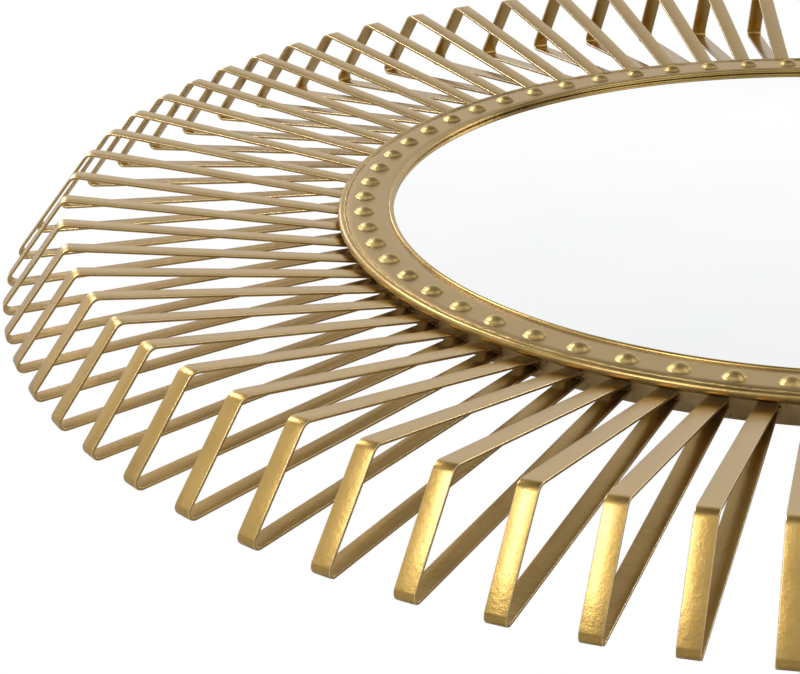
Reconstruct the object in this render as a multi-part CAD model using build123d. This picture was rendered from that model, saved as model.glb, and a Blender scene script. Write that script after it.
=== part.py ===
from build123d import *
import os
from math import asin, cos, hypot, pi, radians, sin

# Round wall mirror with a sunburst of folded flat bars.
# It lies on its back: +Z is the way the glass faces, z = 0 is the wall and +Y is up on the wall.
# Origin: centre of the mirror, on the wall plane. All sizes are in mm.

# ---- bezel: flat ring between a round lip wire inside and a round edge wire outside ----
FACE_Z = 34.1
OPENING_R = 247.5
FLANGE_THICK = 2.0
LIP_WIRE_R = 1.5
EDGE_RING_R = 275.5
EDGE_WIRE_R = 2.6
EDGE_DROP = 2.4

# ---- decorative rivets on the bezel ----
STUD_COUNT = 64
STUD_CIRCLE_R = 263.3
FIRST_STUD_DEG = -93.2
STUD_DRIFT_DEG = 0.8
STUD_R = 5.9
STUD_HEIGHT = 3.0
STUD_SHANK_R = 2.0
STUD_TAIL_R = 3.3
STUD_TAIL_THICK = 1.2
STUD_HOLE_GAP = 0.05

# ---- hoop: flat bar on edge that carries the bezel and the rays ----
HOOP_R = 270.3
HOOP_THICK = 3.0
HOOP_BOTTOM_Z = 16.1

# ---- rays: one flat bar each, folded to a long triangle and welded to the hoop ----
RAY_COUNT = 72
RAYS_PER_SET = 3
FIRST_RAY_DEG = -91.9
RAY_WIDTH = 10.0
RAY_THICK = 1.5
RAY_FOLD_R = 4.0
UPPER_WELD_Z = 25.4
LOWER_WELD_Z = 21.3
UPPER_FOLD = (426.2, 49.4)
LOWER_FOLD = (464.6, -0.67)
SLOW_DRIFT_DEG = 0.8
SLOW_DRIFT_PHASE = 0.95
SIDE_DRIFT_DEG = 1.7
SIDE_DRIFT_WAVES = 3
SIDE_DRIFT_PHASE = 1.65
QUICK_DRIFT_DEG = 0.5
QUICK_DRIFT_WAVES = 6.5
QUICK_DRIFT_PHASE = -0.1

# ---- what the bezel holds ----
GLASS_R = 256.0
GLASS_THICK = 4.0
BOARD_R = 254.0
FELT_THICK = 2.0
BOARD_THICK = 5.0

# ---- turn buttons that lock the backing board ----
BUTTON_DEG = (0, 90, 180, 225, 270, 315)
BUTTON_PIVOT_R = 260.5
BUTTON_REACH = 17.0
BUTTON_HALF_WIDTH = 4.5
BUTTON_THICK = 1.2
BUTTON_GAP = 0.3
LUG_WIDTH = 16.0
LUG_THICK = 2.0
LUG_HEIGHT = 8.0
PIVOT_R = 2.0
PIVOT_HEAD_R = 3.8
PIVOT_HEAD_THICK = 1.8
PIVOT_CLEARANCE = 0.05
PIVOT_CHAMFER = 0.6
PIVOT_SLOT_WIDTH = 1.0
PIVOT_SLOT_DEPTH = 1.2

# ---- hangers: a plate inside the hoop, a folded strap and a swinging ring, left and right ----
HANGER_X = 218.0
HINGE_Y = 128.5
PLATE_THICK = 2.0
PLATE_INNER_X = 204.0
PLATE_LOW_Y = 94.0
PLATE_HIGH_Y = 125.0
STRAP_WIDTH = 12.0
STRAP_THICK = 1.2
STRAP_LENGTH = 29.0
RING_WIRE_R = 1.5
RING_HALF_WIDTH = 10.0
RING_LEG = 5.0
RING_CORNER_R = 3.0
RING_CLEARANCE = 0.06
RIVET_R = 1.6
RIVET_HEAD_R = 3.0
RIVET_HEAD_THICK = 1.0
RIVET_ROUNDING = 0.8
RIVET_BACK = (9.0, 22.0)

# ---- rubber bumpers that keep the metal off the wall ----
BUMPER_XY = (163.8, 114.7)
BUMPER_TOP_R = 11.0
BUMPER_FOOT_R = 9.0
BUMPER_RECESS_R = 4.5
BUMPER_RECESS = 6.0
SCREW_R = 2.0
SCREW_HEAD_R = 3.8
SCREW_HEAD_THICK = 2.2
SCREW_BITE = 4.0
SCREW_GAP = 0.1
SCREW_ROUNDING = 1.2

# ---- levels that follow from the sizes above ----
FLANGE_BACK_Z = FACE_Z - FLANGE_THICK
GLASS_BACK_Z = FLANGE_BACK_Z - GLASS_THICK
FELT_BACK_Z = GLASS_BACK_Z - FELT_THICK
BOARD_BACK_Z = FELT_BACK_Z - BOARD_THICK
HOOP_INNER_R = HOOP_R - HOOP_THICK
PLATE_Z = HOOP_BOTTOM_Z
LOOP_R = RING_WIRE_R + RING_CLEARANCE + STRAP_THICK
HINGE_Z = PLATE_Z - LOOP_R
BUTTON_TOP_Z = BOARD_BACK_Z - BUTTON_GAP
BUTTON_BACK_Z = BUTTON_TOP_Z - BUTTON_THICK
CUT_BEYOND = 1.0  # how far a hole is cut past the faces it goes through


def save(name, *solids):
    shape = solids[0] if len(solids) == 1 else Compound(children=list(solids))
    export_step(shape, f"parts/{name}.step")


def disc(radius, low, high):
    return Pos(0, 0, low) * extrude(Circle(radius), high - low)


def band(inner, outer, low, high):
    return Pos(0, 0, low) * extrude(Circle(outer) - Circle(inner), high - low)


def around(radius, degrees):
    return Pos(radius * cos(radians(degrees)), radius * sin(radians(degrees)), 0)


def turned(edges):
    return revolve(Plane.XZ * make_face(Curve() + edges), Axis.Z, 360)


# ---- bezel ----
def stud_angle(index):
    step = 360 / STUD_COUNT
    return FIRST_STUD_DEG + step * index - STUD_DRIFT_DEG * cos(radians(step * index))


def stud():
    tail_z = FLANGE_BACK_Z - STUD_TAIL_THICK
    steps = Polyline(
        (0, FACE_Z + STUD_HEIGHT),
        (0, tail_z),
        (STUD_TAIL_R, tail_z),
        (STUD_TAIL_R, FLANGE_BACK_Z),
        (STUD_SHANK_R, FLANGE_BACK_Z),
        (STUD_SHANK_R, FACE_Z),
        (STUD_R, FACE_Z),
    )
    sphere_r = (STUD_R ** 2 + STUD_HEIGHT ** 2) / (2 * STUD_HEIGHT)
    half_angle = asin(STUD_R / sphere_r) / 2
    middle = (sphere_r * sin(half_angle), FACE_Z + STUD_HEIGHT - sphere_r * (1 - cos(half_angle)))
    dome = ThreePointArc((STUD_R, FACE_Z), middle, (0, FACE_Z + STUD_HEIGHT))
    return turned([steps, dome])


def edge_ring():
    return Pos(0, 0, FACE_Z - EDGE_DROP) * Torus(EDGE_RING_R, EDGE_WIRE_R)


def inner_lip():
    return Pos(0, 0, FLANGE_BACK_Z + LIP_WIRE_R) * Torus(OPENING_R + LIP_WIRE_R, LIP_WIRE_R)


def flange():
    ring = band(OPENING_R + LIP_WIRE_R, EDGE_RING_R, FLANGE_BACK_Z, FACE_Z)
    ring = ring - edge_ring() - inner_lip()
    hole = disc(STUD_SHANK_R + STUD_HOLE_GAP, FLANGE_BACK_Z - CUT_BEYOND, FACE_Z + CUT_BEYOND)
    holes = [around(STUD_CIRCLE_R, stud_angle(i)) * hole for i in range(STUD_COUNT)]
    return ring - holes


# ---- rays ----
def ray_angle(index):
    """Hand-welded spacing: three waves around the ring move each bar by a degree or two."""
    turn = 2 * pi * index / RAY_COUNT
    drift = SLOW_DRIFT_DEG * cos(turn - SLOW_DRIFT_PHASE)
    side_wave = cos(SIDE_DRIFT_WAVES * turn - SIDE_DRIFT_PHASE)
    drift += SIDE_DRIFT_DEG * sin(turn / 2) ** 2 * side_wave
    drift += QUICK_DRIFT_DEG * sin(QUICK_DRIFT_WAVES * turn - QUICK_DRIFT_PHASE)
    return FIRST_RAY_DEG - 360 / RAY_COUNT * index + drift


def offset_points(points, distance):
    """The open outline moved sideways, with its two ends kept on the hoop's outer face."""
    moved = []
    for (x0, z0), (x1, z1) in zip(points, points[1:]):
        length = hypot(x1 - x0, z1 - z0)
        nx, nz = -(z1 - z0) / length * distance, (x1 - x0) / length * distance
        moved.append(((x0 + nx, z0 + nz), (x1 - x0, z1 - z0)))
    start, slope = moved[0]
    corners = [(HOOP_R, start[1] + (HOOP_R - start[0]) * slope[1] / slope[0])]
    for ((ax, az), (ux, uz)), ((bx, bz), (vx, vz)) in zip(moved, moved[1:]):
        along = ((bx - ax) * vz - (bz - az) * vx) / (ux * vz - uz * vx)
        corners.append((ax + ux * along, az + uz * along))
    last, slope = moved[-1]
    corners.append((HOOP_R, last[1] + (HOOP_R - last[0]) * slope[1] / slope[0]))
    return corners


def ray():
    outside = [(HOOP_R, UPPER_WELD_Z + RAY_THICK / 2), UPPER_FOLD, LOWER_FOLD]
    outside.append((HOOP_R, LOWER_WELD_Z - RAY_THICK / 2))
    inside = offset_points(outside, -RAY_THICK)
    outer = FilletPolyline(*outside, radius=RAY_FOLD_R)
    inner = FilletPolyline(*inside, radius=RAY_FOLD_R - RAY_THICK)
    ends = [Line(outside[0], inside[0]), Line(outside[-1], inside[-1])]
    side = Plane.XZ * make_face(Curve() + [outer, inner, *ends])
    return extrude(side, RAY_WIDTH / 2, both=True)


# ---- turn buttons ----
def lug():
    inner_r = BUTTON_PIVOT_R - BUTTON_HALF_WIDTH
    leaf = band(inner_r, HOOP_INNER_R, BOARD_BACK_Z, BOARD_BACK_Z + LUG_THICK)
    leg = band(HOOP_INNER_R - LUG_THICK, HOOP_INNER_R, BOARD_BACK_Z, BOARD_BACK_Z + LUG_HEIGHT)
    window = Pos(BUTTON_PIVOT_R, 0, BOARD_BACK_Z) * Box(2 * LUG_WIDTH, LUG_WIDTH, 2 * LUG_WIDTH)
    hole = disc(PIVOT_R, BOARD_BACK_Z - CUT_BEYOND, BOARD_BACK_Z + LUG_THICK + CUT_BEYOND)
    return (leaf + leg) & window - Pos(BUTTON_PIVOT_R, 0, 0) * hole


def turn_button():
    leaf = SlotCenterToCenter(BUTTON_REACH, 2 * BUTTON_HALF_WIDTH)
    leaf = Pos(-BUTTON_REACH / 2, 0) * leaf - Circle(PIVOT_R + PIVOT_CLEARANCE)
    return Pos(BUTTON_PIVOT_R, 0, BUTTON_BACK_Z) * extrude(leaf, BUTTON_THICK)


def pivot_screw():
    head_top = BUTTON_BACK_Z - BUTTON_GAP
    head_low = head_top - PIVOT_HEAD_THICK
    head = chamfer(disc(PIVOT_HEAD_R, head_low, head_top).edges().group_by(Axis.Z)[0], PIVOT_CHAMFER)
    shank = disc(PIVOT_R, head_top, BOARD_BACK_Z + LUG_THICK)
    slot = Pos(0, 0, head_low) * Box(2 * PIVOT_HEAD_R, PIVOT_SLOT_WIDTH, PIVOT_SLOT_DEPTH)
    return Pos(BUTTON_PIVOT_R, 0, 0) * (shank + (Part() + head - slot))


# ---- hangers ----
def hanger_plate():
    width = HOOP_R - PLATE_INNER_X
    height = PLATE_HIGH_Y - PLATE_LOW_Y
    centre = Pos(PLATE_INNER_X + width / 2, PLATE_LOW_Y + height / 2, PLATE_Z + PLATE_THICK / 2)
    blank = centre * Box(width, height, PLATE_THICK)
    return blank & disc(HOOP_INNER_R, PLATE_Z, PLATE_Z + PLATE_THICK)


def rivet_places():
    return [Pos(HANGER_X, HINGE_Y - back, 0) for back in RIVET_BACK]


def strap():
    across = Pos(HANGER_X, HINGE_Y, HINGE_Z) * Rot(0, 90, 0)
    loop = Cylinder(LOOP_R, STRAP_WIDTH) - Cylinder(LOOP_R - STRAP_THICK, 2 * STRAP_WIDTH)
    leaves = Pos(HANGER_X, HINGE_Y - STRAP_LENGTH / 2, PLATE_Z - STRAP_THICK)
    leaves *= Box(STRAP_WIDTH, STRAP_LENGTH, 2 * STRAP_THICK)
    bar = across * Cylinder(LOOP_R - STRAP_THICK, 2 * STRAP_WIDTH)
    return across * loop + (leaves - bar)


def hanger_ring():
    top = RING_LEG
    low = [(-RING_HALF_WIDTH, top), (-RING_HALF_WIDTH, 0), (RING_HALF_WIDTH, 0), (RING_HALF_WIDTH, top)]
    path = FilletPolyline(*low, radius=RING_CORNER_R) + CenterArc((0, top), RING_HALF_WIDTH, 0, 180)
    wire = Wire(path.edges())
    start = Plane(origin=wire @ 0, z_dir=wire % 0)
    ring = sweep(start * Circle(RING_WIRE_R), path=wire)
    return Pos(HANGER_X, HINGE_Y, HINGE_Z) * ring


def rivet():
    strap_back = PLATE_Z - 2 * STRAP_THICK
    plate_top = PLATE_Z + PLATE_THICK
    shank = disc(RIVET_R, strap_back, plate_top)
    outer_head = disc(RIVET_HEAD_R, strap_back - RIVET_HEAD_THICK, strap_back)
    inner_head = disc(RIVET_HEAD_R, plate_top, plate_top + RIVET_HEAD_THICK)
    return shank + fillet(outer_head.edges().group_by(Axis.Z)[0], RIVET_ROUNDING) + inner_head


def drilled(shape):
    for place in rivet_places():
        shape -= place * disc(RIVET_R, 0, FACE_Z)
    return shape


# ---- bumpers ----
def bumper():
    cone = Cone(BUMPER_FOOT_R, BUMPER_TOP_R, BOARD_BACK_Z)
    body = Pos(0, 0, BOARD_BACK_Z / 2) * cone
    recess = disc(BUMPER_RECESS_R, -CUT_BEYOND, BUMPER_RECESS)
    return body - recess - disc(SCREW_R, 0, BOARD_BACK_Z + CUT_BEYOND)


def bumper_screw():
    head_low = BUMPER_RECESS - SCREW_HEAD_THICK
    head = fillet(disc(SCREW_HEAD_R, head_low, BUMPER_RECESS).edges().group_by(Axis.Z)[0], SCREW_ROUNDING)
    return head + disc(SCREW_R - SCREW_GAP, BUMPER_RECESS, BOARD_BACK_Z + SCREW_BITE)


def bumper_places():
    x, y = BUMPER_XY
    return [Pos(x, y, 0), Pos(-x, y, 0), Pos(-x, -y, 0), Pos(x, -y, 0)]


def backing_board():
    board = disc(BOARD_R, BOARD_BACK_Z, FELT_BACK_Z)
    pilot = disc(SCREW_R, BOARD_BACK_Z - CUT_BEYOND, BOARD_BACK_Z + SCREW_BITE)
    return board - [place * pilot for place in bumper_places()]


# ---- write every piece ----
os.makedirs("parts", exist_ok=True)

save("bezel_flange", flange())
save("bezel_inner_lip", inner_lip())
save("bezel_edge_ring", edge_ring())
save("bezel_rivets", *[around(STUD_CIRCLE_R, stud_angle(i)) * stud() for i in range(STUD_COUNT)])
save("hoop", band(HOOP_INNER_R, HOOP_R, HOOP_BOTTOM_Z, FLANGE_BACK_Z))

save("mirror_glass", disc(GLASS_R, GLASS_BACK_Z, FLANGE_BACK_Z))
save("felt_pad", disc(BOARD_R, FELT_BACK_Z, GLASS_BACK_Z))
save("backing_board", backing_board())

for set_index in range(RAY_COUNT // RAYS_PER_SET):
    first = set_index * RAYS_PER_SET
    bars = [Rot(0, 0, ray_angle(i)) * ray() for i in range(first, first + RAYS_PER_SET)]
    save(f"rays_{set_index + 1:02d}", *bars)

for number, angle in enumerate(BUTTON_DEG, start=1):
    save(f"button_lug_{number}", Rot(0, 0, angle) * lug())
    save(f"turn_button_{number}", Rot(0, 0, angle) * turn_button())
save("pivot_screws", *[Rot(0, 0, angle) * pivot_screw() for angle in BUTTON_DEG])

right_side = {
    "hanger_plate": drilled(hanger_plate()),
    "hanger_strap": drilled(strap()),
    "hanger_ring": hanger_ring(),
}
for name, solid in right_side.items():
    save(f"{name}_right", solid)
    save(f"{name}_left", mirror(solid, about=Plane.YZ))
rivets = [place * rivet() for place in rivet_places()]
save("strap_rivets", *rivets, *[mirror(solid, about=Plane.YZ) for solid in rivets])

for number, place in enumerate(bumper_places(), start=1):
    save(f"bumper_{number}", place * bumper())
save("bumper_screws", *[place * bumper_screw() for place in bumper_places()])
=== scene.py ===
from math import asin, cos, pi, radians, sin, tan
from random import Random

import bmesh
import bpy
from mathutils import Matrix, Vector, noise


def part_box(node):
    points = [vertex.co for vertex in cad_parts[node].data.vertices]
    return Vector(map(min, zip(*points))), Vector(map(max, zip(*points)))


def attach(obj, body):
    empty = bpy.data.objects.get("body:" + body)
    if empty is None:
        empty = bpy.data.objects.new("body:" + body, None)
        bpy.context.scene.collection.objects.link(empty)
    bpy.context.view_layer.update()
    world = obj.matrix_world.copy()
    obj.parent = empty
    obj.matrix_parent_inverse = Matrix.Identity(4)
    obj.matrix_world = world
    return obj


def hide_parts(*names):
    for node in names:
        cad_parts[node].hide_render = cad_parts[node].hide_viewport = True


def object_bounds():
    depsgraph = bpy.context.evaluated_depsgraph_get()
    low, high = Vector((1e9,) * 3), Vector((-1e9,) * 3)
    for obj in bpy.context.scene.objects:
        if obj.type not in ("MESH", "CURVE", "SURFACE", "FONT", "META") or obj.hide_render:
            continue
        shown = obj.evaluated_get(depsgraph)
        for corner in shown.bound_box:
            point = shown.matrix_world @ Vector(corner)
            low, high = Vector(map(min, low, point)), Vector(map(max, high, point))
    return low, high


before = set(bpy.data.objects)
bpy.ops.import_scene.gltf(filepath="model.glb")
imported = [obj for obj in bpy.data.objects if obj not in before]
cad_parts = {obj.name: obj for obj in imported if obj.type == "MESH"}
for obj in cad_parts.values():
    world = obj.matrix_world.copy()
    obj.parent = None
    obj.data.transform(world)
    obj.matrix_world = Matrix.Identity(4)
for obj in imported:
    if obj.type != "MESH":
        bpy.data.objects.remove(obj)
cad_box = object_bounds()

# ---- mirror glass ----
# Float glass, silvered and painted on the back, with a narrow pencil edge ground all round.
# It lies loose under the bezel, so only its face shows from the front.


def finished(bm, name, *materials, smooth=True):
    """Turns a bmesh into an object with its normals outwards and its materials in order."""
    bmesh.ops.recalc_face_normals(bm, faces=bm.faces)
    mesh = bpy.data.meshes.new(name)
    bm.to_mesh(mesh)
    bm.free()
    for material in materials:
        mesh.materials.append(material)
    for polygon in mesh.polygons:
        polygon.use_smooth = smooth
    piece = bpy.data.objects.new(name, mesh)
    bpy.context.scene.collection.objects.link(piece)
    return piece


def shader(name, metallic=0.0, roughness=0.5):
    """A new material with its node tree and its Principled BSDF, and plain values on the shader."""
    material = bpy.data.materials.new(name)
    material.use_nodes = True
    tree = material.node_tree
    bsdf = tree.nodes["Principled BSDF"]
    bsdf.inputs["Metallic"].default_value = metallic
    bsdf.inputs["Roughness"].default_value = roughness
    return material, tree, bsdf


def node(tree, kind, **values):
    """Adds a node. A name that the node has is one of its settings, and any other is a socket."""
    made = tree.nodes.new(kind)
    for key, value in values.items():
        if hasattr(made, key):
            setattr(made, key, value)
        else:
            made.inputs[key.replace("_", " ")].default_value = value
    return made


def ramp(tree, source, *stops):
    """A colour ramp through (place, colour) stops, fed from an output."""
    made = tree.nodes.new("ShaderNodeValToRGB")
    band = made.color_ramp
    while len(band.elements) < len(stops):
        band.elements.new(0.5)
    for element, (place, colour) in zip(band.elements, stops):
        element.position = place
        element.color = (*colour, 1)
    tree.links.new(source, made.inputs["Fac"])
    return made.outputs["Color"]


def value_range(tree, source, low, high, start=0.0, end=1.0):
    """Stretches a value between start and end to the range from low to high."""
    made = node(tree, "ShaderNodeMapRange", From_Min=start, From_Max=end, To_Min=low, To_Max=high)
    tree.links.new(source, made.inputs["Value"])
    return made.outputs["Result"]


def object_noise(tree, scale, detail=4.0, roughness=0.55, stretch=(1, 1, 1)):
    """Noise in the piece's own coordinates, with scale in features per metre, stretched per axis."""
    place = tree.nodes.new("ShaderNodeTexCoord")
    mapping = node(tree, "ShaderNodeMapping", Scale=stretch)
    cloud = node(tree, "ShaderNodeTexNoise", Scale=scale, Detail=detail, Roughness=roughness)
    tree.links.new(place.outputs["Object"], mapping.inputs["Vector"])
    tree.links.new(mapping.outputs["Vector"], cloud.inputs["Vector"])
    return cloud.outputs["Fac"]


def bumped(tree, bsdf, height, distance):
    """Feeds a height into the shader's normal, where 1 stands for distance metres."""
    bump = node(tree, "ShaderNodeBump", Distance=distance)
    tree.links.new(height, bump.inputs["Height"])
    tree.links.new(bump.outputs["Normal"], bsdf.inputs["Normal"])


def placed(piece, body, slot, *cad_nodes):
    """Makes a piece ride on a body and hides the CAD nodes that it stands for."""
    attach(piece, body)
    if cad_nodes:
        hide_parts(*cad_nodes)


glass_low, glass_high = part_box("mirror_glass")
glass_steps = 256
pencil_edge = 0.0008
sharp_turn = 1.0  # radians: two faces that turn by more than this meet at a hard edge

silvered, tree, bsdf = shader("silvered_glass", metallic=1.0)
haze = object_noise(tree, 9, detail=6)
silver = ramp(tree, haze, (0.3, (0.93, 0.945, 0.94)), (0.7, (0.955, 0.965, 0.96)))
tree.links.new(silver, bsdf.inputs["Base Color"])
tree.links.new(value_range(tree, haze, 0.006, 0.02), bsdf.inputs["Roughness"])

glass_edge, tree, bsdf = shader("ground_glass_edge")
grit = object_noise(tree, 900)
green = ramp(tree, grit, (0.3, (0.16, 0.3, 0.25)), (0.7, (0.3, 0.46, 0.4)))
tree.links.new(green, bsdf.inputs["Base Color"])
tree.links.new(value_range(tree, grit, 0.2, 0.5), bsdf.inputs["Roughness"])
bumped(tree, bsdf, grit, 0.00005)

back_paint, tree, bsdf = shader("mirror_back_paint")
flow = object_noise(tree, 60)
grey = ramp(tree, flow, (0.3, (0.16, 0.17, 0.18)), (0.7, (0.22, 0.23, 0.24)))
tree.links.new(grey, bsdf.inputs["Base Color"])
tree.links.new(value_range(tree, flow, 0.4, 0.6), bsdf.inputs["Roughness"])
bumped(tree, bsdf, flow, 0.0001)

bm = bmesh.new()
bmesh.ops.create_circle(bm, cap_ends=True, radius=glass_high[0], segments=glass_steps)
bmesh.ops.translate(bm, vec=(0, 0, glass_low[2]), verts=bm.verts)
slab = bmesh.ops.extrude_face_region(bm, geom=bm.faces[:], use_keep_orig=True)
raised = [part for part in slab["geom"] if isinstance(part, bmesh.types.BMVert)]
bmesh.ops.translate(bm, vec=(0, 0, glass_high[2] - glass_low[2]), verts=raised)
joined = [edge for edge in bm.edges if len(edge.link_faces) == 2]
rims = [edge for edge in joined if edge.calc_face_angle() > sharp_turn]
bmesh.ops.bevel(
    bm, geom=rims, offset=pencil_edge, segments=3, profile=0.5, affect="EDGES", material=-1
)
for face in bm.faces:
    front = face.calc_center_median().z > glass_high[2] - pencil_edge / 8
    if len(face.verts) > 4:
        face.material_index = 0 if front else 2
    else:
        face.material_index = 1
glass = finished(bm, "mirror_glass_piece", silvered, glass_edge, back_paint, smooth=False)
placed(glass, "mirror", "mirror", "mirror_glass")

# ---- felt pad ----
# Thin grey wool felt between the painted back of the glass and the board, die cut to a disc.
# Its fibres show as fine short hairs at the rim.

wool, tree, bsdf = shader("grey_wool_felt", roughness=0.95)
hairs = object_noise(tree, 1400, detail=8, roughness=0.7)
lumps = object_noise(tree, 120)
fluff = ramp(tree, hairs, (0.3, (0.1, 0.1, 0.095)), (0.7, (0.21, 0.205, 0.2)))
matted = node(tree, "ShaderNodeMixRGB", Color2=(0.13, 0.125, 0.12, 1))
tree.links.new(value_range(tree, lumps, 0, 0.5), matted.inputs["Fac"])
tree.links.new(fluff, matted.inputs["Color1"])
tree.links.new(matted.outputs["Color"], bsdf.inputs["Base Color"])
bsdf.inputs["Sheen Weight"].default_value = 0.4
bumped(tree, bsdf, hairs, 0.0004)
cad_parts["felt_pad"].data.materials.clear()
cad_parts["felt_pad"].data.materials.append(wool)

# ---- backing board ----
# Tempered hardboard disc, sawn and screwed through into the bumpers.
# Its face is a pressed brown skin with darker flecks of fibre.

hardboard, tree, bsdf = shader("tempered_hardboard")
flecks = object_noise(tree, 420, detail=8, roughness=0.75)
clouds = object_noise(tree, 14, detail=3)
brown = ramp(
    tree, flecks, (0.25, (0.07, 0.035, 0.016)), (0.5, (0.17, 0.092, 0.042)), (0.8, (0.26, 0.155, 0.08))
)
tree.links.new(brown, bsdf.inputs["Base Color"])
tree.links.new(value_range(tree, clouds, 0.42, 0.72), bsdf.inputs["Roughness"])
bumped(tree, bsdf, flecks, 0.00012)
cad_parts["backing_board"].data.materials.clear()
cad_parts["backing_board"].data.materials.append(hardboard)

# ---- bezel flange ----
# Flat ring cut from 2 mm steel sheet. Its face is painted antique gold over the metal's fine
# rolling marks, and it is slightly wavy from the riveting.

polish_gain = -0.12
flake_height = 0.35


def gold_paint_group():
    """Metallic gold paint: cloudy thin spots, fine flakes, and a painted edge highlight, a brighter
    colour laid on wherever the edge mask is set, where the paint is also polished smoother.
    """
    group = bpy.data.node_groups.new("gold_paint", "ShaderNodeTree")
    for name, kind in (
        ("Body", "NodeSocketColor"),
        ("Thin", "NodeSocketColor"),
        ("Painted Edge Highlight", "NodeSocketColor"),
        ("Polish And Highlight", "NodeSocketFloat"),
        ("Roughness", "NodeSocketFloat"),
        ("Grain", "NodeSocketFloat"),
    ):
        group.interface.new_socket(name, in_out="INPUT", socket_type=kind)
    for name, kind in (
        ("Color", "NodeSocketColor"),
        ("Roughness", "NodeSocketFloat"),
        ("Height", "NodeSocketFloat"),
    ):
        group.interface.new_socket(name, in_out="OUTPUT", socket_type=kind)
    given = group.nodes.new("NodeGroupInput").outputs
    result = group.nodes.new("NodeGroupOutput").inputs
    clouds = object_noise(group, 38, detail=5, roughness=0.6)
    flakes = object_noise(group, 1500, detail=2, roughness=0.7)
    orange_peel = object_noise(group, 420, detail=3)

    thin = group.nodes.new("ShaderNodeMixRGB")
    group.links.new(value_range(group, clouds, 0, 1, 0.35, 0.65), thin.inputs["Fac"])
    group.links.new(given["Thin"], thin.inputs["Color1"])
    group.links.new(given["Body"], thin.inputs["Color2"])

    flaked = group.nodes.new("ShaderNodeMixRGB")
    flaked.blend_type = "MULTIPLY"
    group.links.new(given["Grain"], flaked.inputs["Fac"])
    group.links.new(thin.outputs["Color"], flaked.inputs["Color1"])
    sparkle = ramp(group, flakes, (0.3, (0.62, 0.6, 0.56)), (0.7, (1, 1, 1)))
    group.links.new(sparkle, flaked.inputs["Color2"])

    # Where the edge mask is set, a brighter colour is laid on as a painted highlight, and the roughness
    # drops where the paint is polished.
    polish_and_highlight = node(group, "ShaderNodeMath", operation="MULTIPLY")
    group.links.new(given["Polish And Highlight"], polish_and_highlight.inputs[0])
    group.links.new(value_range(group, orange_peel, 0.6, 1.0, 0.3, 0.6), polish_and_highlight.inputs[1])
    painted_highlight_mix = group.nodes.new("ShaderNodeMixRGB")
    group.links.new(polish_and_highlight.outputs["Value"], painted_highlight_mix.inputs["Fac"])
    group.links.new(flaked.outputs["Color"], painted_highlight_mix.inputs["Color1"])
    group.links.new(given["Painted Edge Highlight"], painted_highlight_mix.inputs["Color2"])
    group.links.new(painted_highlight_mix.outputs["Color"], result["Color"])

    uneven = node(group, "ShaderNodeMath", operation="ADD")
    group.links.new(given["Roughness"], uneven.inputs[0])
    group.links.new(value_range(group, clouds, -0.05, 0.05, 0.3, 0.7), uneven.inputs[1])
    polished = node(group, "ShaderNodeMath", operation="MULTIPLY_ADD")
    group.links.new(polish_and_highlight.outputs["Value"], polished.inputs[0])
    polished.inputs[1].default_value = polish_gain
    group.links.new(uneven.outputs["Value"], polished.inputs[2])
    group.links.new(polished.outputs["Value"], result["Roughness"])

    relief = node(group, "ShaderNodeMath", operation="MULTIPLY_ADD")
    group.links.new(flakes, relief.inputs[0])
    relief.inputs[1].default_value = flake_height
    group.links.new(orange_peel, relief.inputs[2])
    group.links.new(relief.outputs["Value"], result["Height"])
    return group


gold_paint = gold_paint_group()


def gold(name, body, thin, roughness, grain, relief=0.00004):
    """One gold finish. Its paint is the body colour, and thin is the colour where it is thin."""
    material, tree, bsdf = shader(name, metallic=1.0)
    paint = node(tree, "ShaderNodeGroup", node_tree=gold_paint, name="paint")
    paint.inputs["Body"].default_value = (*body, 1)
    paint.inputs["Thin"].default_value = (*thin, 1)
    paint.inputs["Polish And Highlight"].default_value = 0
    paint.inputs["Roughness"].default_value = roughness
    paint.inputs["Grain"].default_value = grain
    tree.links.new(paint.outputs["Color"], bsdf.inputs["Base Color"])
    tree.links.new(paint.outputs["Roughness"], bsdf.inputs["Roughness"])
    bumped(tree, bsdf, paint.outputs["Height"], relief)
    return material


def turned(outline, steps):
    """An outline of (radius, height) points spun once round the Z axis, closed unless it ends there."""
    bm = bmesh.new()
    corners = [bm.verts.new((r, 0, z)) for r, z in outline]
    sides = list(zip(corners, corners[1:]))
    if outline[0][0] > 0:
        sides.append((corners[-1], corners[0]))
    edges = [bm.edges.new(side) for side in sides]
    bmesh.ops.spin(
        bm,
        geom=corners + edges,
        cent=(0, 0, 0),
        axis=(0, 0, 1),
        angle=2 * pi,
        steps=steps,
        use_merge=True,
    )
    bmesh.ops.remove_doubles(bm, verts=bm.verts, dist=0.0000005)
    return bm


# Blender seeds this noise from the clock, so it is given a fixed seed to repeat itself.
noise.seed_set(11)


def unsettle(bm, features, amount, along=(1, 1, 1)):
    """Moves every vertex by smooth noise, so that a shape isn't machine perfect."""
    for vert in bm.verts:
        drift = noise.noise_vector(vert.co * features) * amount
        vert.co += Vector([d * a for d, a in zip(drift, along)])


flange_low, flange_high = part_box("bezel_flange")
lip_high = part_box("bezel_inner_lip")[1]
edge_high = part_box("bezel_edge_ring")[1]
face_z = flange_high[2]
lip_wire = (lip_high[2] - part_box("bezel_inner_lip")[0][2]) / 2
lip_middle = lip_high[0] - lip_wire
edge_wire = (edge_high[2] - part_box("bezel_edge_ring")[0][2]) / 2
edge_middle = edge_high[0] - edge_wire
flange_turn = 0.0004
flange_steps = 320
face_rings = (0.78, 0.5, 0.26)

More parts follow.
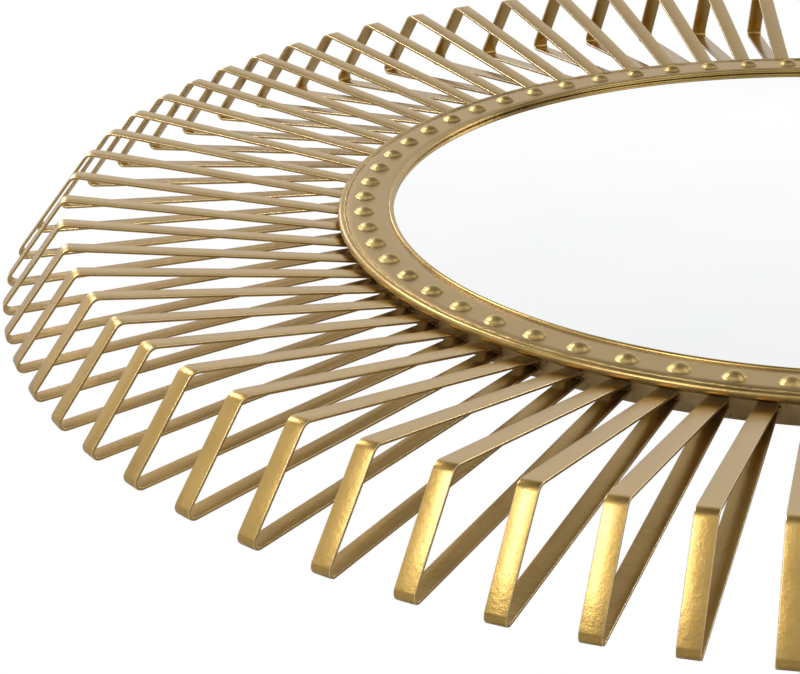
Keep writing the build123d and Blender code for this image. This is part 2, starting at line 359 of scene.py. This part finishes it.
flange_gold = gold(
    "flange_gold", body=(0.56, 0.395, 0.175), thin=(0.5, 0.345, 0.145), roughness=0.36, grain=0.3
)
inside = lip_middle + lip_wire / 2
outside = edge_middle - edge_wire / 2
bm = turned(
    (
        (inside, flange_low[2]),
        (outside, flange_low[2]),
        (outside, face_z - flange_turn),
        (outside - flange_turn, face_z),
        *[(lip_middle + share * (outside - lip_middle), face_z) for share in face_rings],
        (inside + flange_turn, face_z),
        (inside, face_z - flange_turn),
    ),
    flange_steps,
)
unsettle(bm, features=22, amount=0.00012, along=(0, 0, 1))
flange = finished(bm, "bezel_flange_piece", flange_gold)
placed(flange, "mirror", "gold_bezel", "bezel_flange")

# ---- bezel lip ----
# Round steel wire welded along the flange's inner edge. It stands over the glass, and years of
# dusting have left it a little smoother than the flange.


def wire_ring(middle, height, radius, sides, steps):
    """A round wire bent to a ring about the Z axis."""
    turns = [2 * pi * k / sides for k in range(sides)]
    return turned([(middle + radius * cos(t), height + radius * sin(t)) for t in turns], steps)


inside_cad = 0.985  # a wire is this much thinner than its node, to leave room for its waves

lip_gold = gold(
    "lip_gold",
    body=(0.56, 0.385, 0.14),
    thin=(0.45, 0.3, 0.1),
    roughness=0.27,
    grain=0.15,
    relief=0.00001,
)
bm = wire_ring(lip_middle, lip_high[2] - lip_wire, lip_wire * inside_cad, sides=16, steps=360)
unsettle(bm, features=25, amount=0.00002)
lip = finished(bm, "bezel_lip_piece", lip_gold)
placed(lip, "mirror", "gold_bezel", "bezel_inner_lip")

# ---- bezel edge ring ----
# Thicker round wire brazed under the flange's outer edge. The filler metal stands along the joint
# as a fine crinkled bead that was never filed.

seam_wire = 0.0007
seam_in = 0.0012
seam_sunk = 0.3

edge_gold = gold(
    "edge_ring_gold", body=(0.54, 0.37, 0.135), thin=(0.4, 0.265, 0.09), roughness=0.3, grain=0.3
)
seam_gold = gold(
    "braze_gold",
    body=(0.66, 0.47, 0.19),
    thin=(0.5, 0.34, 0.13),
    roughness=0.36,
    grain=0.5,
    relief=0.0001,
)
bm = wire_ring(edge_middle, edge_high[2] - edge_wire, edge_wire * inside_cad, sides=20, steps=400)
unsettle(bm, features=40, amount=0.00003)
edge_ring = finished(bm, "bezel_edge_ring_piece", edge_gold)
placed(edge_ring, "mirror", "gold_bezel", "bezel_edge_ring")
seam_height = face_z - seam_wire * seam_sunk
bm = wire_ring(edge_middle - seam_in, seam_height, seam_wire, sides=8, steps=1000)
unsettle(bm, features=420, amount=0.00042)
unsettle(bm, features=90, amount=0.00025)
seam = finished(bm, "bezel_braze_seam", seam_gold)
placed(seam, "mirror", "gold_bezel")

# ---- bezel rivets ----
# Low domed steel rivets round the bezel, set by hand, so each stands a little differently.
# They are painted with the frame, over heads polished by the setting tool.

rivet_count = 64
rivet_circle = 0.2633
first_rivet = radians(-93.2)
rivet_drift = radians(0.8)
rivet_radius = 0.0059
rivet_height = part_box("bezel_rivets")[1][2] - face_z
rivet_sides = 22
rivet_tilt = 1.5  # degrees
rivet_sunk = 0.00015
dome_steps = 7
dome_share = 0.97
foot_rise = 0.0001

rivet_gold = gold(
    "rivet_gold",
    body=(0.62, 0.44, 0.185),
    thin=(0.55, 0.385, 0.145),
    roughness=0.38,
    grain=0.15,
    relief=0.00001,
)
sphere = (rivet_radius ** 2 + rivet_height ** 2) / (2 * rivet_height)
widest = asin(rivet_radius / sphere)
outline = []
for step in range(dome_steps):
    lean = widest * dome_share * step / (dome_steps - 1)
    outline.append((sphere * sin(lean), face_z + rivet_height - sphere * (1 - cos(lean))))
outline += [
    (rivet_radius * 1.01, face_z + foot_rise),
    (rivet_radius * 1.05, face_z - rivet_sunk),
    (0, face_z - rivet_sunk),
]
bm = turned(outline, rivet_sides)
one_rivet = bpy.data.meshes.new("one_rivet")
bm.to_mesh(one_rivet)
bm.free()


def repeated(mesh, places):
    """A bmesh with one copy of a mesh at each place."""
    bm = bmesh.new()
    for place in places:
        before = len(bm.verts)
        bm.from_mesh(mesh)
        bm.verts.ensure_lookup_table()
        bmesh.ops.transform(bm, matrix=place, verts=bm.verts[before:])
    return bm


hand = Random(11)
places = []
for index in range(rivet_count):
    turn = 2 * pi * index / rivet_count
    angle = first_rivet + turn - rivet_drift * cos(turn)
    tilt = radians(hand.uniform(-rivet_tilt, rivet_tilt))
    lean = Matrix.Rotation(tilt, 4, (cos(angle * 7), sin(angle * 7), 0))
    seat = Matrix.Translation((0, 0, face_z))
    at = Matrix.Translation((rivet_circle * cos(angle), rivet_circle * sin(angle), 0))
    places.append(at @ seat @ lean @ seat.inverted())
rivets = finished(repeated(one_rivet, places), "bezel_rivets_piece", rivet_gold)
placed(rivets, "mirror", "gold_bezel", "bezel_rivets")

# ---- hoop ----
# Flat steel bar rolled on edge to a ring, under the bezel's rim. The rays are welded to its outer
# face, where the heat and the brushed-on gold have left it brown and cloudy.

hoop_low, hoop_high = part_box("hoop")
hoop_radius = hoop_high[0]
hoop_thickness = 0.003
hoop_rounding = 0.0004
hoop_steps = 288

hoop_gold = gold(
    "hoop_gold",
    body=(0.8, 0.61, 0.34),
    thin=(0.56, 0.4, 0.19),
    roughness=0.42,
    grain=0.5,
    relief=0.00012,
)
bm = turned(
    (
        (hoop_radius - hoop_thickness, hoop_low[2]),
        (hoop_radius, hoop_low[2]),
        (hoop_radius, hoop_low[2] / 2 + hoop_high[2] / 2),
        (hoop_radius, hoop_high[2]),
        (hoop_radius - hoop_thickness, hoop_high[2]),
    ),
    hoop_steps,
)
rims = [edge for edge in bm.edges if edge.calc_face_angle() > sharp_turn]
bmesh.ops.bevel(
    bm, geom=rims, offset=hoop_rounding, segments=2, profile=0.5, affect="EDGES", material=-1
)
hoop = finished(bm, "hoop_piece", hoop_gold)
placed(hoop, "mirror", "gold_bar", "hoop")

# ---- rays ----
# Flat steel bar, one length for each ray, bent in a jig to a long closed triangle and painted
# gold under clear lacquer. Its rolled corners are slightly rounded; along their crests the paint is
# polished smoother and carries a painted highlight, a brighter gold.

ray_count = 72
rays_per_set = 3
first_ray = radians(-91.9)
bar_width = 0.01
bar_thickness = 0.0015
upper_fold_radius = 0.0065
lower_fold_radius = 0.004
corner_radius = 0.00045
upper_end = Vector((hoop_radius, 0, 0.02615))
upper_fold = Vector((0.4262, 0, 0.0494))
lower_fold = Vector((0.4646, 0, -0.00067))
lower_end = Vector((hoop_radius, 0, 0.02055))
spare = 0.006
arm_steps = 9
leg_steps = 3
fold_steps = 6
cut_within = 0.00001


def drawn_out(bm, section, reach, count):
    """Draws a bar's section out by a vector in count steps and returns the last section."""
    for _ in range(count):
        made = bmesh.ops.extrude_edge_only(bm, edges=section)["geom"]
        verts = [part for part in made if isinstance(part, bmesh.types.BMVert)]
        bmesh.ops.translate(bm, vec=reach / count, verts=verts)
        section = [
            part
            for part in made
            if isinstance(part, bmesh.types.BMEdge) and all(vert in verts for vert in part.verts)
        ]
    return section


def bent_round(bm, section, centre, angle):
    """Bends a bar from its last section round a fold and returns the new last section."""
    verts = list({vert for edge in section for vert in edge.verts})
    made = bmesh.ops.spin(
        bm, geom=verts + section, cent=centre, axis=(0, -1, 0), angle=-angle, steps=fold_steps
    )
    return [part for part in made["geom_last"] if isinstance(part, bmesh.types.BMEdge)]


def folded_bar():
    """One ray in the XZ plane, its ends cut square where they meet the hoop."""
    corners = (upper_end, upper_fold, lower_fold, lower_end)
    ways = [(b - a).normalized() for a, b in zip(corners, corners[1:])]
    inward = [Vector((way.z, 0, -way.x)) for way in ways]
    bends = [a.angle(b) for a, b in zip(ways, ways[1:])]
    radii = (upper_fold_radius, lower_fold_radius)
    setback = [radius * tan(bend / 2) for radius, bend in zip(radii, bends)]
    half = Vector((0, bar_width / 2, 0))
    start = corners[0] - ways[0] * spare
    sheet = inward[0] * bar_thickness
    bm = bmesh.new()
    crest_polish_and_highlight = bm.verts.layers.float.new("polished_and_highlit_edge")
    outer = (start + half, start - half)
    verts = [bm.verts.new(spot) for spot in (*outer, outer[1] + sheet, outer[0] + sheet)]
    section = [bm.edges.new(pair) for pair in zip(verts, verts[1:] + verts[:1])]

    arm = (corners[1] - corners[0]).length + spare - setback[0]
    section = drawn_out(bm, section, ways[0] * arm, arm_steps)
    centre = corners[1] - ways[0] * setback[0] + inward[0] * upper_fold_radius
    section = bent_round(bm, section, centre, bends[0])
    leg = (corners[2] - corners[1]).length - setback[0] - setback[1]
    section = drawn_out(bm, section, ways[1] * leg, leg_steps)
    centre = corners[2] - ways[1] * setback[1] + inward[1] * lower_fold_radius
    section = bent_round(bm, section, centre, bends[1])
    arm = (corners[3] - corners[2]).length + spare - setback[1]
    drawn_out(bm, section, ways[2] * arm, arm_steps)

    bmesh.ops.remove_doubles(bm, verts=bm.verts, dist=0.000001)
    everything = bm.verts[:] + bm.edges[:] + bm.faces[:]
    bmesh.ops.bisect_plane(
        bm, geom=everything, plane_co=(hoop_radius, 0, 0), plane_no=(1, 0, 0), clear_inner=True
    )
    bmesh.ops.holes_fill(bm, edges=[edge for edge in bm.edges if edge.is_boundary], sides=4)
    bmesh.ops.recalc_face_normals(bm, faces=bm.faces)
    square = [face for face in bm.faces if abs(face.normal.x) > 0.999 and len(face.verts) == 4]
    ends = {face for face in square if abs(face.calc_center_median().x - hoop_radius) < cut_within}
    hard = [edge for edge in bm.edges if edge.calc_face_angle() > sharp_turn]
    rolled = [edge for edge in hard if not ends.intersection(edge.link_faces)]
    rounded = bmesh.ops.bevel(
        bm, geom=rolled, offset=corner_radius, segments=3, profile=0.5, affect="EDGES", material=-1
    )
    corner_faces = set(rounded["faces"])
    # Marks the crests of the rounded corners: the paint there is polished smoother and given a painted
    # highlight.
    for vert in rounded["verts"]:
        beside = [face for face in vert.link_faces if len(face.verts) == 4]
        vert[crest_polish_and_highlight] = 1 if corner_faces.issuperset(beside) else 0
    return bm


def ray_angle(index):
    """Hand-welded spacing: three waves round the ring move each bar by a degree or two."""
    turn = 2 * pi * index / ray_count
    drift = 0.8 * cos(turn - 0.95)
    drift += 1.7 * sin(turn / 2) ** 2 * cos(3 * turn - 1.65)
    drift += 0.5 * sin(6.5 * turn + 0.1)
    return first_ray - turn + radians(drift)


ray_gold = gold(
    "ray_gold",
    body=(0.6, 0.385, 0.105),
    thin=(0.53, 0.335, 0.085),
    roughness=0.34,
    grain=0.35,
    relief=0.00013,
)
tree = ray_gold.node_tree
paint = tree.nodes["paint"]
# A painted edge highlight: a pale bright gold laid on the crest of every rounded corner, whichever way
# it faces the light.
paint.inputs["Painted Edge Highlight"].default_value = (0.9, 0.7, 0.38, 1)
polished_and_highlit_edge = node(tree, "ShaderNodeAttribute", attribute_name="polished_and_highlit_edge")
tree.links.new(polished_and_highlit_edge.outputs["Fac"], paint.inputs["Polish And Highlight"])
bsdf = tree.nodes["Principled BSDF"]
bsdf.inputs["Coat Weight"].default_value = 0.6
bsdf.inputs["Coat Roughness"].default_value = 0.18
bm = folded_bar()
one_ray = bpy.data.meshes.new("one_ray")
bm.to_mesh(one_ray)
bm.free()
for first in range(0, ray_count, rays_per_set):
    name = f"rays_{first // rays_per_set + 1:02d}"
    indexes = range(first, first + rays_per_set)
    turns = [Matrix.Rotation(ray_angle(index), 4, "Z") for index in indexes]
    bm = repeated(one_ray, turns)
    unsettle(bm, features=18, amount=0.00012, along=(1, 1, 0))
    rays = finished(bm, name + "_piece", ray_gold)
    placed(rays, "mirror", "gold_bar", name)

# ---- welds ----
# Short weld beads where each bar's ends meet the hoop, and a few drops of spatter near them,
# all painted over.

bead_lumps = 5
bead_share = 0.98
bead_height = 0.0004
lump_out, lump_along, lump_up = 0.001, 0.0012, 0.0009
spatter_count = 3
spatter_size = 0.00045
spatter_reach = 0.009
spatter_band = (0.0165, 0.0285)

weld_gold = gold(
    "weld_gold",
    body=(0.5, 0.34, 0.14),
    thin=(0.22, 0.135, 0.05),
    roughness=0.33,
    grain=0.8,
    relief=0.0002,
)
bm = bmesh.new()
bmesh.ops.create_icosphere(bm, subdivisions=1, radius=1)
one_lump = bpy.data.meshes.new("one_lump")
bm.to_mesh(one_lump)
bm.free()
hand = Random(23)
places = []
for index in range(ray_count):
    turn = Matrix.Rotation(ray_angle(index), 4, "Z")
    for height, side in ((upper_end.z - bar_thickness, -1), (lower_end.z + bar_thickness, 1)):
        for lump in range(bead_lumps):
            across = bar_width * ((lump + 0.5) / bead_lumps - 0.5) * bead_share
            size = (lump_out * hand.uniform(0.9, 1.7), lump_along * hand.uniform(0.9, 1.3), lump_up)
            spot = Vector((hoop_radius, across, height + side * bead_height * hand.uniform(0.3, 1)))
            places.append(turn @ Matrix.LocRotScale(spot, None, size))
    for _ in range(spatter_count):
        beside = hand.uniform(-spatter_reach, spatter_reach)
        spot = Vector((hoop_radius, beside, hand.uniform(*spatter_band)))
        drop = Vector((1, 1, 1)) * spatter_size * hand.uniform(0.6, 1.5)
        places.append(turn @ Matrix.LocRotScale(spot, None, drop))
bm = repeated(one_lump, places)
unsettle(bm, features=900, amount=0.00025)
welds = finished(bm, "weld_beads", weld_gold)
placed(welds, "mirror", "gold_bar")

# ---- turn button lugs ----
# Small steel angles welded inside the hoop behind the glass, one for each turn button, and
# painted with the frame.

button_count = 6
joined_within = 0.000002
flat_within = radians(2)
hard_from = radians(40)


def softened(name, rounding, material, slot, body):
    """A copy of a CAD node with its triangles joined up and its hard edges slightly rounded."""
    bm = bmesh.new()
    bm.from_mesh(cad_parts[name].data)
    bmesh.ops.remove_doubles(bm, verts=bm.verts, dist=joined_within)
    bmesh.ops.dissolve_limit(bm, angle_limit=flat_within, verts=bm.verts, edges=bm.edges)
    joined = [edge for edge in bm.edges if len(edge.link_faces) == 2]
    hard = [edge for edge in joined if edge.calc_face_angle() > hard_from]
    bmesh.ops.bevel(
        bm,
        geom=hard,
        offset=rounding,
        segments=2,
        profile=0.5,
        affect="EDGES",
        material=-1,
        clamp_overlap=True,
    )
    bmesh.ops.triangulate(bm, faces=[face for face in bm.faces if len(face.verts) > 4])
    piece = finished(bm, name + "_piece", material)
    piece.data.set_sharp_from_angle(angle=radians(30))
    placed(piece, body, slot, name)


for number in range(1, button_count + 1):
    softened(f"button_lug_{number}", 0.00025, hoop_gold, "gold_bar", "mirror")

# ---- turn buttons and pivot screws ----
# Stamped zinc-plated leaves that turn over the board's edge, each held by a slotted pan screw.
# The plating is dull and faintly clouded, with fine rubbing marks.


def plated(name, light, dark, roughness):
    """Zinc-plated steel with cloudy crystals and fine rubbing marks."""
    material, tree, bsdf = shader(name, metallic=0.7)
    crystals = object_noise(tree, 260, detail=5)
    marks = object_noise(tree, 700, detail=3, stretch=(1, 0.12, 1))
    tree.links.new(ramp(tree, crystals, (0.3, dark), (0.7, light)), bsdf.inputs["Base Color"])
    tree.links.new(value_range(tree, marks, roughness, roughness + 0.25), bsdf.inputs["Roughness"])
    bumped(tree, bsdf, marks, 0.00003)
    return material


zinc = plated("zinc_plate", (0.62, 0.63, 0.62), (0.42, 0.43, 0.43), 0.25)
screw_steel = plated("screw_plate", (0.55, 0.54, 0.5), (0.34, 0.33, 0.3), 0.2)
for number in range(1, button_count + 1):
    softened(f"turn_button_{number}", 0.0002, zinc, "steel", f"turn_button_{number}")
softened("pivot_screws", 0.00015, screw_steel, "steel", "mirror")

# ---- hangers ----
# On each side a gold-painted plate bridges the hoop. A plated strap folded round a D-shaped wire
# ring is riveted to it, and the ring swings over the wall hook.

ring_steel = plated("ring_wire", (0.64, 0.63, 0.6), (0.45, 0.44, 0.42), 0.18)
for side in ("right", "left"):
    softened(f"hanger_plate_{side}", 0.0003, hoop_gold, "gold_bar", "mirror")
    softened(f"hanger_strap_{side}", 0.00015, zinc, "steel", "mirror")
    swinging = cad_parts[f"hanger_ring_{side}"]
    swinging.data.materials.clear()
    swinging.data.materials.append(ring_steel)
softened("strap_rivets", 0.00015, screw_steel, "steel", "mirror")

# ---- bumpers ----
# Turned rubber feet screwed to the board. They keep the metal off the wall, and each has a
# recess that sinks the head of its screw.

bumper_count = 4
bumper_top = 0.011
bumper_foot = 0.009
recess_radius = 0.0045
recess_depth = 0.006
bore_radius = 0.002
bumper_steps = 48
rubber_rounding = 0.0008

rubber, tree, bsdf = shader("black_rubber")
dust = object_noise(tree, 240, detail=6, roughness=0.65)
bloom = ramp(tree, dust, (0.35, (0.012, 0.012, 0.012)), (0.75, (0.045, 0.043, 0.04)))
tree.links.new(bloom, bsdf.inputs["Base Color"])
tree.links.new(value_range(tree, dust, 0.5, 0.8), bsdf.inputs["Roughness"])
bumped(tree, bsdf, dust, 0.0001)

for number in range(1, bumper_count + 1):
    name = f"bumper_{number}"
    low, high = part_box(name)
    middle = Vector((low[0] + high[0], low[1] + high[1], 0)) / 2
    top = high[2]
    bm = turned(
        (
            (recess_radius, 0),
            (bumper_foot, 0),
            (bumper_top, top),
            (bore_radius, top),
            (bore_radius, recess_depth),
            (recess_radius, recess_depth),
        ),
        bumper_steps,
    )
    hard = [edge for edge in bm.edges if edge.calc_face_angle() > sharp_turn]
    mouth = [edge for edge in hard if edge.verts[0].co.z < bore_radius]
    bmesh.ops.bevel(
        bm, geom=mouth, offset=rubber_rounding, segments=3, profile=0.5, affect="EDGES", material=-1
    )
    bmesh.ops.translate(bm, vec=middle, verts=bm.verts)
    bumper = finished(bm, name + "_piece", rubber)
    bumper.data.set_sharp_from_angle(angle=radians(40))
    placed(bumper, "mirror", "bumper_rubber", name)
softened("bumper_screws", 0.00015, screw_steel, "steel", "mirror")

# ---- floor ----
# Plain pale surface that the mirror lies on. It shows white to the eye and reflects a softer grey
# into the metal, as a white table does under a light tent. It is clear from underneath, and it
# glows on to the board and the bumpers, so that the back is lit too.

floor_reach = 6.0
floor_gap = 0.0005
floor_paint, tree, bsdf = shader("pale_floor", roughness=0.9)
bsdf.inputs["Base Color"].default_value = (0.6, 0.59, 0.57, 1)
seen = node(tree, "ShaderNodeLightPath")
white = node(tree, "ShaderNodeEmission", Color=(1, 1, 1, 1), Strength=1.0)
glow = node(tree, "ShaderNodeEmission", Color=(1, 1, 1, 1), Strength=1.4)
under_board = tree.nodes.new("ShaderNodeMixShader")
tree.links.new(seen.outputs["Is Diffuse Ray"], under_board.inputs["Fac"])
tree.links.new(bsdf.outputs["BSDF"], under_board.inputs[1])
tree.links.new(glow.outputs["Emission"], under_board.inputs[2])
choice = tree.nodes.new("ShaderNodeMixShader")
tree.links.new(seen.outputs["Is Camera Ray"], choice.inputs["Fac"])
tree.links.new(under_board.outputs["Shader"], choice.inputs[1])
tree.links.new(white.outputs["Emission"], choice.inputs[2])
under = tree.nodes.new("ShaderNodeNewGeometry")
clear = tree.nodes.new("ShaderNodeBsdfTransparent")
one_sided = tree.nodes.new("ShaderNodeMixShader")
tree.links.new(under.outputs["Backfacing"], one_sided.inputs["Fac"])
tree.links.new(choice.outputs["Shader"], one_sided.inputs[1])
tree.links.new(clear.outputs["BSDF"], one_sided.inputs[2])
tree.links.new(one_sided.outputs["Shader"], tree.nodes["Material Output"].inputs["Surface"])
bm = bmesh.new()
bmesh.ops.create_grid(bm, x_segments=1, y_segments=1, size=floor_reach)
bmesh.ops.translate(bm, vec=(0, 0, cad_box[0][2] - floor_gap), verts=bm.verts)
floor = finished(bm, "floor", floor_paint, smooth=False)

# ---- light ----
# A light tent, bright low down behind the mirror, dark above it, and bright again over the
# viewer, with soft boxes that catch the rays' legs and folds. It lights the back evenly from
# below, and it shows plain white to the eye, as the floor does.

world = bpy.data.worlds.new("light_tent")
world.use_nodes = True
bpy.context.scene.world = world
tree = world.node_tree
background = tree.nodes["Background"]
background.inputs["Strength"].default_value = 1.0
direction = tree.nodes.new("ShaderNodeTexCoord")
parts = tree.nodes.new("ShaderNodeSeparateXYZ")
tree.links.new(direction.outputs["Generated"], parts.inputs["Vector"])
overhead_turn = node(tree, "ShaderNodeMath", operation="ARCTAN2")
tree.links.new(parts.outputs["Z"], overhead_turn.inputs[0])
tree.links.new(parts.outputs["Y"], overhead_turn.inputs[1])
tent_tones = (
    (-180, 1.3),
    (-3, 1.3),
    (0, 0.56),
    (6, 0.72),
    (17, 1.04),
    (27, 0.87),
    (38, 0.46),
    (52, 0.2),
    (75, 0.16),
    (98, 0.3),
    (108, 0.9),
    (118, 1.0),
    (128, 0.8),
    (142, 0.65),
    (158, 0.45),
    (180, 0.35),
)
tent = ramp(
    tree,
    value_range(tree, overhead_turn.outputs["Value"], 0, 1, -pi, pi),
    *[(0.5 + angle / 360, (tone, tone, tone)) for angle, tone in tent_tones],
)
tree.links.new(tent, background.inputs["Color"])
seen = node(tree, "ShaderNodeLightPath")
plain = node(tree, "ShaderNodeBackground", Color=(1, 1, 1, 1), Strength=1.0)
shown = tree.nodes.new("ShaderNodeMixShader")
tree.links.new(seen.outputs["Is Camera Ray"], shown.inputs["Fac"])
tree.links.new(background.outputs["Background"], shown.inputs[1])
tree.links.new(plain.outputs["Background"], shown.inputs[2])
tree.links.new(shown.outputs["Shader"], tree.nodes["World Output"].inputs["Surface"])


def soft_box(name, spot, aim, width, height, power):
    """A rectangular soft box at a spot, facing a point."""
    light = bpy.data.lights.new(name, "AREA")
    light.shape = "RECTANGLE"
    light.size = width
    light.size_y = height
    light.energy = power
    lamp = bpy.data.objects.new(name, light)
    bpy.context.scene.collection.objects.link(lamp)
    facing = (Vector(aim) - Vector(spot)).to_track_quat("-Z", "Y")
    lamp.matrix_world = Matrix.Translation(spot) @ facing.to_matrix().to_4x4()


soft_box("front_box", (-1.35, -1.6, 1.8), (-0.1, -0.3, 0), width=1.0, height=0.7, power=8)
soft_box("key_box", (-1.22, -1.55, 1.6), (-0.1, -0.4, 0), width=0.45, height=0.35, power=5)
soft_box("left_panel", (-2.6, 0.1, 1.05), (-0.2, 0, 0), width=1.6, height=1.0, power=3.2)
soft_box("left_box", (-1.75, 0.85, 1.65), (-0.2, -0.2, 0), width=0.8, height=0.8, power=18)
soft_box("right_box", (1.3, 0.0, 1.8), (-0.1, -0.1, 0), width=0.8, height=0.8, power=4)
soft_box("back_left_strip", (-1.9, 2.2, 0.6), (-0.1, 0, 0), width=0.4, height=0.9, power=4.5)
soft_box("back_right_strip", (2.0, 1.5, 0.9), (-0.1, 0, 0), width=0.5, height=0.7, power=5)

# ---- camera ----
# A long lens, low over the near edge, turned a little to the left and tipped down.

camera_spot = Vector((0, -1.2183, 0.4493))
yaw, pitch, roll = radians(11.639), radians(22.458), radians(1.442)

lens = bpy.data.cameras.new("camera")
lens.sensor_width = 36
lens.lens = 103.34
lens.clip_start = 0.05
camera = bpy.data.objects.new("camera", lens)
bpy.context.scene.collection.objects.link(camera)
level = Vector((-sin(yaw), cos(yaw), 0))
forward = level * cos(pitch) - Vector((0, 0, 1)) * sin(pitch)
right = Vector((cos(yaw), sin(yaw), 0))
down = forward.cross(right)
across = right * cos(roll) + down * sin(roll)
below = down * cos(roll) - right * sin(roll)
pose = Matrix((across, -below, -forward)).transposed().to_4x4()
pose.translation = camera_spot
camera.matrix_world = pose
bpy.context.scene.camera = camera
bpy.context.scene.view_settings.view_transform = "Standard"
